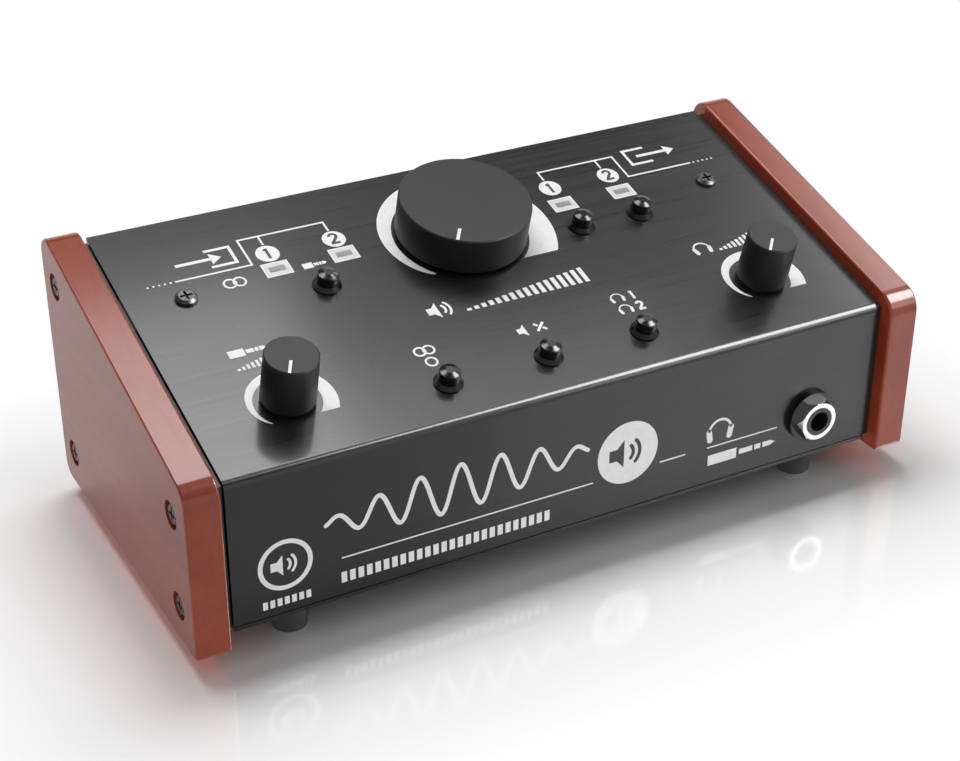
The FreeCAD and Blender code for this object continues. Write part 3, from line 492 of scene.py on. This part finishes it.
def scale(name, cx, cy, inner, thin, thick, cut):
    """The crescent round a knob, from thin at the front left to thick at the front right.

    It ends on a straight line, cut from side to side that far in front of the knob's middle.
    """
    start, full = 47.0, 302.0
    cut_outer = 360.0 - math.degrees(math.acos(cut / (inner + thick)))
    cut_inner = 360.0 - math.degrees(math.acos(cut / inner))
    count = 120
    outside, inside = [], []
    for i in range(count + 1):
        share = i / count
        turn = start + (cut_outer - start) * share
        width = thin + (thick - thin) * min(1.0, (turn - start) / (full - start)) ** 0.6
        a = math.radians(turn)
        radius = inner + max(0.06, width)
        outside.append((cx - radius * math.sin(a), cy - radius * math.cos(a)))
        a = math.radians(start + (cut_inner - start) * share)
        inside.append((cx - inner * math.sin(a), cy - inner * math.cos(a)))
    marks = Print(name, on_panel)
    marks.strip(outside, inside)
    marks.finish("housing", WHITE)


scale("volume_scale", 0.0, 76.4, inner=21.4, thin=0.5, thick=8.9, cut=16.8)
scale("aux_scale", -79.1, 26.4, inner=9.7, thin=0.0, thick=4.6, cut=7.0)
scale("headphone_scale", 79.1, 27.0, inner=9.7, thin=0.0, thick=4.9, cut=7.0)


def digit(marks, number, cx, cy, height, weight):
    """A plain 1 or 2."""
    half = height / 2
    if number == 1:
        stem = cx + height * 0.02
        marks.line([(cx - height * 0.16, cy + half * 0.62), (stem, cy + half * 0.9)], weight * 0.8)
        marks.box(stem - weight / 2, cy - half, stem + weight / 2, cy + half)
    else:
        radius = height * 0.24
        bend = arc(cx, cy + half - radius, radius, 170, -38, 18)
        marks.line(bend + [(cx - radius, cy - half + weight / 2)], weight)
        marks.box(cx - radius - weight * 0.35, cy - half, cx + radius + weight * 0.3, cy - half + weight)


discs = Print("channel_discs", on_panel)
numbers = Print("channel_numbers", on_panel, 0.0, 0.045)
borders = Print("lamp_borders", on_panel)
windows = Print("lamp_windows", on_panel, -0.02, 0.025)
for x, up, number in CHANNELS:
    discs.disc(x, up, 3.65)
    digit(numbers, number, x, up, 4.7, 0.95)
    borders.frame(x, LAMP_UP, (8.5, 6.2), (7.7, 5.4))
    windows.frame(x, LAMP_UP, (7.7, 5.4), (5.0, 2.0))
discs.finish("housing", WHITE)
numbers.finish("housing", DARK)
borders.finish("housing", WHITE)
windows.finish("housing", PALE)

LINE = 0.65
brackets = Print("selection_brackets", on_panel)
DROP = 4.3
NEAR, BRANCH, FAR, TAIL = 38.1, 59.4, 66.0, 90.0
for sign, top, low in ((-1, 94.7, 83.0), (1, 96.0, 85.0)):
    corners = ((NEAR, top - DROP), (NEAR, top), (FAR, top), (FAR, low), (TAIL, low))
    brackets.line([(sign * x, v) for x, v in corners], LINE)
    brackets.box(sign * BRANCH - LINE / 2, top - DROP, sign * BRANCH + LINE / 2, top - LINE / 2)
    for step in range(5):
        brackets.disc(sign * (TAIL + 1.3 + 1.75 * step), low, 0.36)
brackets.finish("housing", WHITE)


# Plain pictograms where the photographed controls carry words.

def speaker(marks, cx, cy, size):
    """A loudspeaker seen from its side, size tall."""
    back, neck, mouth = cx - size * 0.42, cx - size * 0.14, cx + size * 0.12
    tall, low = size / 2, size * 0.21
    marks.fill([
        (back, cy - low), (neck, cy - low), (mouth, cy - tall),
        (mouth, cy + tall), (neck, cy + low), (back, cy + low),
    ])


def sound(marks, cx, cy, size, count, weight):
    """Waves that spread from a loudspeaker."""
    for step in range(count):
        radius = size * (0.34 + 0.24 * step)
        marks.line(arc(cx + size * 0.12, cy, radius, -42, 42, 14), weight, soft=True)


def rising_bars(marks, x0, x1, y0, low, high, count, fill=0.58):
    pitch = (x1 - x0) / count
    for i in range(count):
        tall = low + (high - low) * i / (count - 1)
        marks.box(x0 + pitch * i, y0, x0 + pitch * (i + fill), y0 + tall)


def plug(marks, x0, cy, length, thick):
    """A jack plug lying on its side, its tip to the right."""
    h = thick / 2
    marks.box(x0, cy - h, x0 + length * 0.42, cy + h)
    marks.box(x0 + length * 0.46, cy - h * 0.5, x0 + length * 0.66, cy + h * 0.5)
    marks.box(x0 + length * 0.69, cy - h * 0.5, x0 + length * 0.78, cy + h * 0.5)
    marks.fill([
        (x0 + length * 0.81, cy - h * 0.5), (x0 + length * 0.92, cy - h * 0.5), (x0 + length, cy),
        (x0 + length * 0.92, cy + h * 0.5), (x0 + length * 0.81, cy + h * 0.5),
    ])


def headphones(marks, cx, cy, size):
    """Band and two ear pads, size wide."""
    r = size * 0.4
    marks.line(arc(cx, cy - size * 0.06, r, 6, 174, 28), size * 0.085)
    for side in (-1, 1):
        x = cx + side * r
        pad = [(x, cy - size * 0.02), (x - side * size * 0.05, cy - size * 0.3)]
        marks.line(pad, size * 0.2, soft=True)


def arrow(marks, x0, x1, cy, weight, head):
    marks.box(x0, cy - weight / 2, x1 - head * 0.9, cy + weight / 2)
    marks.fill([(x1 - head, cy - head * 0.72), (x1, cy), (x1 - head, cy + head * 0.72)])


signs = Print("panel_pictograms", on_panel)
signs.line([(-77.5, 93.0), (-69.6, 93.0), (-69.6, 85.7), (-77.5, 85.7)], 1.0)
arrow(signs, -87.6, -73.2, 89.35, 1.2, 3.4)
signs.line([(78.6, 97.3), (70.7, 97.3), (70.7, 90.0), (78.6, 90.0)], 1.0)
arrow(signs, 74.2, 88.6, 93.65, 1.2, 3.4)
for x in (-75.3, -72.3):
    signs.ring(x, 77.2, 2.15, 1.5)
plug(signs, -52.2, 77.3, 7.6, 2.4)
speaker(signs, -23.4, 46.6, 6.6)
sound(signs, -23.4, 46.6, 6.6, 2, 0.8)
rising_bars(signs, -14.4, 28.6, 43.4, 1.0, 6.6, 17)
plug(signs, -87.4, 48.8, 11.5, 3.0)
rising_bars(signs, -87.2, -75.4, 42.0, 0.8, 4.0, 8)
signs.ring(-35.8, 32.2, 2.0, 1.35)
signs.ring(-33.0, 32.2, 2.0, 1.35)
signs.ring(-34.4, 27.4, 2.0, 1.35)
speaker(signs, -2.8, 30.2, 5.0)
signs.line([(1.1, 28.6), (4.3, 31.8)], 0.85)
signs.line([(1.1, 31.8), (2.15, 30.75)], 0.85)
signs.line([(3.25, 29.65), (4.3, 28.6)], 0.85)
headphones(signs, 31.2, 33.8, 5.0)
digit(signs, 1, 36.4, 33.6, 3.6, 0.85)
headphones(signs, 31.2, 28.6, 5.0)
digit(signs, 2, 36.4, 28.4, 3.6, 0.85)
headphones(signs, 69.3, 45.6, 6.8)
rising_bars(signs, 74.6, 90.6, 42.7, 0.9, 5.4, 9)
signs.finish("housing", WHITE)


# Printed marks on the front wall.

def trace(marks, x0, x1, cy, swing, weight):
    """A swelling and fading wave, like sound on a scope."""
    points = []
    count = 240
    for i in range(count + 1):
        share = i / count
        envelope = 0.16 + 0.84 * math.sin(math.pi * share) ** 0.9
        points.append((x0 + (x1 - x0) * share, cy + swing * envelope * math.sin(2 * math.pi * 6.5 * share)))
    marks.line(points, weight, soft=True)


front = Print("front_marks", on_front)
front.ring(-91.4, 20.4, 8.1, 6.7)
speaker(front, -93.0, 20.4, 6.6)
sound(front, -93.0, 20.4, 6.6, 2, 0.8)
for step in range(7):
    front.box(-98.6 + 2.15 * step, 7.4, -97.2 + 2.15 * step, 9.9)
trace(front, -79.0, 4.2, 29.0, 7.4, 1.35)
front.box(-74.7, 16.8, 6.3, 17.25)
for step in range(26):
    front.box(-75.0 + 2.6 * step, 8.8, -73.3 + 2.6 * step, 12.3)
front.disc(18.1, 24.1, 10.4)
front.box(29.6, 17.15, 38.7, 17.65)
headphones(front, 51.0, 22.8, 10.0)
front.box(46.6, 17.1, 72.5, 17.55)
plug(front, 47.2, 12.6, 25.0, 3.6)
front.finish("housing", WHITE)
disc_sign = Print("front_disc_sign", on_front, 0.0, 0.045)
speaker(disc_sign, 15.6, 24.1, 9.4)
sound(disc_sign, 15.6, 24.1, 9.4, 2, 1.2)
disc_sign.finish("housing", DARK)


# Pointer lines on the knobs; they turn with them.

def pointer(name, body, cx, cy, top, turn, near, far, width):
    """A line on a knob's top, turned from the front towards the left, in degrees."""
    a = math.radians(turn)
    way = Vector((-math.sin(a), -math.cos(a)))
    marks = Print(name, lambda x, v, h: on_panel(x, v, top + h))
    marks.line([tuple(Vector((cx, cy)) + way * near), tuple(Vector((cx, cy)) + way * far)], width)
    marks.finish(body, WHITE)


VOLUME_TOP, SMALL_TOP = 13.2, 17.2
pointer("volume_pointer", "volume_control", 0.0, 76.5, VOLUME_TOP, 34.0, near=14.6, far=20.0, width=1.0)
pointer("aux_pointer", "aux_control", -79.0, 26.7, SMALL_TOP, 28.0, near=2.4, far=7.4, width=0.85)
pointer("headphone_pointer", "headphone_control", 79.0, 26.7, SMALL_TOP, 41.0, near=1.5, far=7.4, width=0.85)


# Floor, world and lamps.

FLOOR_HALF = 6.0
FOOTPRINT = (0.12, 0.0555, 0.0)
SHADE_START, SHADE_END = 0.006, 0.066


def make_floor():
    """A pale gloss sheet. It keeps the object's real shadow within 6 mm of the footprint; from there to 66
    mm painted white light fades that shadow out for the camera, and beyond it the floor is plain white.
    To diffuse rays the floor glows white, a painted fill light thrown back at the object."""
    mesh = bmesh.new()
    bmesh.ops.create_grid(mesh, x_segments=1, y_segments=1, size=FLOOR_HALF)
    data = bpy.data.meshes.new("studio_floor")
    mesh.to_mesh(data)
    mesh.free()
    floor = bpy.data.objects.new("studio_floor", data)
    bpy.context.scene.collection.objects.link(floor)
    f = Finish("pale_gloss_floor", (0.8, 0.8, 0.8), 0.12, IOR=1.5)
    nodes, links = f.tree.nodes, f.tree.links
    path = nodes.new("ShaderNodeLightPath")
    f.link(f.blend(path.outputs["Is Camera Ray"], (0.8, 0.8, 0.8), (1.0, 1.0, 1.0)), "Base Color")
    f.link(f.levels(f.noise(9, 3, 0.5), 0.3, 0.7, 0.09, 0.14), "Roughness")
    mirror = nodes.new("ShaderNodeBsdfGlossy")
    mirror.inputs["Color"].default_value = (0.97, 0.97, 0.97, 1.0)
    mirror.inputs["Roughness"].default_value = 0.1
    gloss = nodes.new("ShaderNodeMixShader")
    gloss.inputs[0].default_value = 0.15
    links.new(f.shader.outputs[0], gloss.inputs[1])
    links.new(mirror.outputs[0], gloss.inputs[2])
    value = f.where
    steps = (
        (None, "ABSOLUTE"), (FOOTPRINT, "SUBTRACT"), ((0.0, 0.0, 0.0), "MAXIMUM"), (None, "LENGTH"),
    )
    for step, operation in steps:
        node = nodes.new("ShaderNodeVectorMath")
        node.operation = operation
        links.new(value, node.inputs[0])
        if step:
            node.inputs[1].default_value = step
        value = node.outputs["Value" if operation == "LENGTH" else "Vector"]
    # Painted light: from 6 to 66 mm off the footprint a camera-only white glow fades in over the floor and
    # washes out the object's real shadow there.
    painted_fade_mask = nodes.new("ShaderNodeMath")
    painted_fade_mask.operation = "MULTIPLY"
    links.new(f.levels(value, SHADE_START, SHADE_END, 0.0, 1.0), painted_fade_mask.inputs[0])
    links.new(path.outputs["Is Camera Ray"], painted_fade_mask.inputs[1])
    white = nodes.new("ShaderNodeEmission")
    white.inputs["Color"].default_value = (1.0, 1.0, 1.0, 1.0)
    white.inputs["Strength"].default_value = 1.0
    sheet = nodes.new("ShaderNodeMixShader")
    links.new(painted_fade_mask.outputs[0], sheet.inputs[0])
    links.new(gloss.outputs[0], sheet.inputs[1])
    links.new(white.outputs[0], sheet.inputs[2])
    # Painted fill light: the floor glows white at strength 1.3 for diffuse rays and lights the object,
    # though it is no lamp.
    painted_fill_glow = nodes.new("ShaderNodeEmission")
    painted_fill_glow.inputs["Color"].default_value = (1.0, 1.0, 1.0, 1.0)
    painted_fill_glow.inputs["Strength"].default_value = 1.3
    lit = nodes.new("ShaderNodeMixShader")
    links.new(path.outputs["Is Diffuse Ray"], lit.inputs[0])
    links.new(sheet.outputs[0], lit.inputs[1])
    links.new(painted_fill_glow.outputs[0], lit.inputs[2])
    links.new(lit.outputs[0], nodes["Material Output"].inputs["Surface"])
    data.materials.append(f.material)
    floor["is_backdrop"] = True


def make_world():
    """White to the camera and near the horizon; a dim, even studio above."""
    world = bpy.data.worlds.new("studio")
    bpy.context.scene.world = world
    world.use_nodes = True
    tree = world.node_tree
    tree.nodes.clear()
    where = tree.nodes.new("ShaderNodeTexCoord")
    split = tree.nodes.new("ShaderNodeSeparateXYZ")
    tree.links.new(where.outputs["Generated"], split.inputs[0])
    height = tree.nodes.new("ShaderNodeValToRGB")
    height.color_ramp.elements[0].position = 0.38
    height.color_ramp.elements[0].color = (1.0, 1.0, 1.0, 1.0)
    height.color_ramp.elements[1].position = 0.52
    height.color_ramp.elements[1].color = (0.05, 0.05, 0.05, 1.0)
    tree.links.new(split.outputs["Z"], height.inputs["Fac"])
    path = tree.nodes.new("ShaderNodeLightPath")
    soft = tree.nodes.new("ShaderNodeBackground")
    soft.inputs["Color"].default_value = (1.0, 1.0, 1.0, 1.0)
    soft.inputs["Strength"].default_value = 0.34
    glossy = tree.nodes.new("ShaderNodeBackground")
    tree.links.new(height.outputs["Color"], glossy.inputs["Color"])
    seen = tree.nodes.new("ShaderNodeBackground")
    seen.inputs["Color"].default_value = (1.0, 1.0, 1.0, 1.0)
    first, second = tree.nodes.new("ShaderNodeMixShader"), tree.nodes.new("ShaderNodeMixShader")
    sharp = tree.nodes.new("ShaderNodeMath")
    sharp.operation = "MAXIMUM"
    tree.links.new(path.outputs["Is Glossy Ray"], sharp.inputs[0])
    tree.links.new(path.outputs["Is Transmission Ray"], sharp.inputs[1])
    tree.links.new(sharp.outputs[0], first.inputs[0])
    tree.links.new(soft.outputs[0], first.inputs[1])
    tree.links.new(glossy.outputs[0], first.inputs[2])
    tree.links.new(path.outputs["Is Camera Ray"], second.inputs[0])
    tree.links.new(first.outputs[0], second.inputs[1])
    tree.links.new(seen.outputs[0], second.inputs[2])
    out = tree.nodes.new("ShaderNodeOutputWorld")
    tree.links.new(second.outputs[0], out.inputs["Surface"])


def softbox(name, centre, target, width, height, radiance, reflected_only=False):
    """A rectangular lamp whose face has that radiance; some light nothing but reflections."""
    lamp = bpy.data.lights.new(name, "AREA")
    lamp.shape = "RECTANGLE"
    lamp.size, lamp.size_y = width, height
    lamp.energy = radiance * math.pi * width * height
    shown = bpy.data.objects.new(name, lamp)
    bpy.context.scene.collection.objects.link(shown)
    shown.location = centre
    shown.rotation_mode = "QUATERNION"
    shown.rotation_quaternion = (Vector(target) - Vector(centre)).to_track_quat("-Z", "Y")
    shown.visible_camera = False
    shown.visible_diffuse = not reflected_only


make_floor()
make_world()
softbox("overhead_core", (0.0, 0.41, 1.19), (0.0, 0.41, 0.0), 0.80, 0.58, 5.6)
softbox("overhead_middle", (0.19, 0.35, 1.20), (0.19, 0.35, 0.0), 1.18, 0.46, 1.7)
softbox("overhead_wide", (0.39, 0.33, 1.21), (0.39, 0.33, 0.0), 1.58, 0.40, 0.8)
OBJECT_MIDDLE = (0.0, 0.0, 0.05)
softbox("edge_softbox", (0.85, -0.45, 1.15), OBJECT_MIDDLE, 0.75, 0.8, 20.0, reflected_only=True)
softbox("side_softbox", (1.28, 0.68, 1.2), (1.28, 0.68, 0.0), 0.44, 0.42, 6.0, reflected_only=True)
softbox("right_softbox", (0.95, -1.0, 0.65), OBJECT_MIDDLE, 0.8, 0.6, 3.2, reflected_only=True)


# Camera, at the photograph's place.

LENS = 71.71
CAMERA_PLACE = (-0.2496, -0.4515, 0.3243)
RIGHT = Vector((0.87859, -0.47757, 0.00232))
UP = Vector((0.23264, 0.43221, 0.87125))
FORWARD = Vector((0.41708, 0.76493, -0.49084))
camera_data = bpy.data.cameras.new("camera")
camera = bpy.data.objects.new("camera", camera_data)
bpy.context.scene.collection.objects.link(camera)
camera_data.sensor_width = 36.0
camera_data.lens = LENS
camera_data.clip_start, camera_data.clip_end = 0.01, 50.0
turn = Matrix((RIGHT, UP, -FORWARD)).transposed().to_4x4()
camera.matrix_world = Matrix.Translation(CAMERA_PLACE) @ turn
bpy.context.scene.camera = camera
bpy.context.scene.view_settings.view_transform = "Standard"

low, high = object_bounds()
